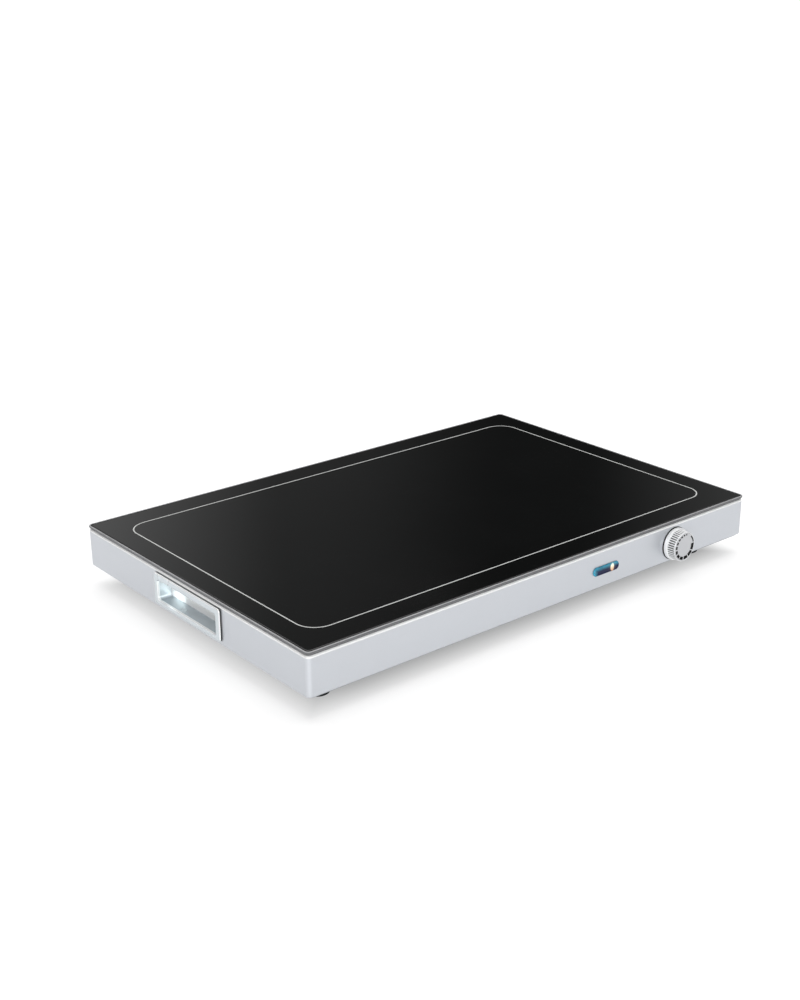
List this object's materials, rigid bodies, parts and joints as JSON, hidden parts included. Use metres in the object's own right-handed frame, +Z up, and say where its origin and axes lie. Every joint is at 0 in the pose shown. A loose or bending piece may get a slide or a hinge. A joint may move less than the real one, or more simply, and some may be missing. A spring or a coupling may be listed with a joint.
{
  "type": "electric food warmer tray",
  "caption": "Low rectangular electric hot tray: black glass top in a steel housing, flush end handles, front thermostat knob, indicator window and short feet.",
  "frame": {"origin": "middle of the outer box's base, at table level", "axes": "+X along the front edge to the right, +Y from the front to the back, +Z up"},
  "size_m": [0.563, 0.3858, 0.0635],
  "materials": {
    "satin_steel": "satin",
    "trim_metal": "satin",
    "polished_metal": "satin chrome",
    "black_glass": "polished",
    "black_rubber": "matt",
    "black_plastic": "matt",
    "silver_plastic": "satin silver",
    "blue_lens": "gloss, see-through",
    "amber_lamp": "clear, lit",
    "aluminium": "mill",
    "zinc_steel": "zinc plated",
    "brass": "turned",
    "copper": "drawn tube",
    "ceramic_wool": "fibre mat",
    "heater_sleeve": "matt",
    "lead_sleeve": "matt",
    "earth_sleeve": "matt"
  },
  "bodies": {
    "tray": {"housing": "satin_steel", "trim_frame": "trim_metal", "left_handle_cup": "polished_metal", "right_handle_cup": "polished_metal", "glass_top": "black_glass", "glass_seal": "black_rubber", "front_left_foot": "black_rubber", "front_right_foot": "black_rubber", "rear_left_foot": "black_rubber", "rear_right_foot": "black_rubber", "thermostat_body": "black_plastic", "lamp_holder": "black_plastic", "power_inlet": "black_plastic", "indicator_lens": "blue_lens", "neon_lamp": "amber_lamp", "heat_spreader": "aluminium", "element_foil": "aluminium", "heat_shield": "aluminium", "base_plate": "zinc_steel", "base_screw_1": "zinc_steel", "base_screw_2": "zinc_steel", "base_screw_3": "zinc_steel", "base_screw_4": "zinc_steel", "base_screw_5": "zinc_steel", "base_screw_6": "zinc_steel", "front_left_foot_screw": "zinc_steel", "front_right_foot_screw": "zinc_steel", "rear_left_foot_screw": "zinc_steel", "rear_right_foot_screw": "zinc_steel", "left_handle_clamp": "zinc_steel", "left_handle_screw_1": "zinc_steel", "left_handle_screw_2": "zinc_steel", "right_handle_clamp": "zinc_steel", "right_handle_screw_1": "zinc_steel", "right_handle_screw_2": "zinc_steel", "bulb_clip": "zinc_steel", "left_support_rail": "zinc_steel", "right_support_rail": "zinc_steel", "inlet_screw_1": "zinc_steel", "inlet_screw_2": "zinc_steel", "thermal_fuse": "zinc_steel", "thermostat_nut": "brass", "inlet_pin_live": "brass", "inlet_pin_neutral": "brass", "inlet_pin_earth": "brass", "earth_screw": "brass", "capillary_bulb": "copper", "insulation_mat": "ceramic_wool", "heating_wire": "heater_sleeve", "neutral_lead": "lead_sleeve", "live_lead": "lead_sleeve", "front_heater_lead": "lead_sleeve", "rear_heater_lead": "lead_sleeve", "lamp_live_lead": "lead_sleeve", "lamp_neutral_lead": "lead_sleeve", "terminal_block": "lead_sleeve", "earth_lead": "earth_sleeve"},
    "knob": {"control_knob": "silver_plastic", "knob_cap": "silver_plastic", "thermostat_shaft": "brass"}
  },
  "joints": [
    {"name": "knob_turn", "type": "hinge", "parent": "tray", "child": "knob", "pos_m": [0.172, -0.17915, 0.039], "axis": [0, 1, 0], "range_deg": [0, 280]}
  ]
}
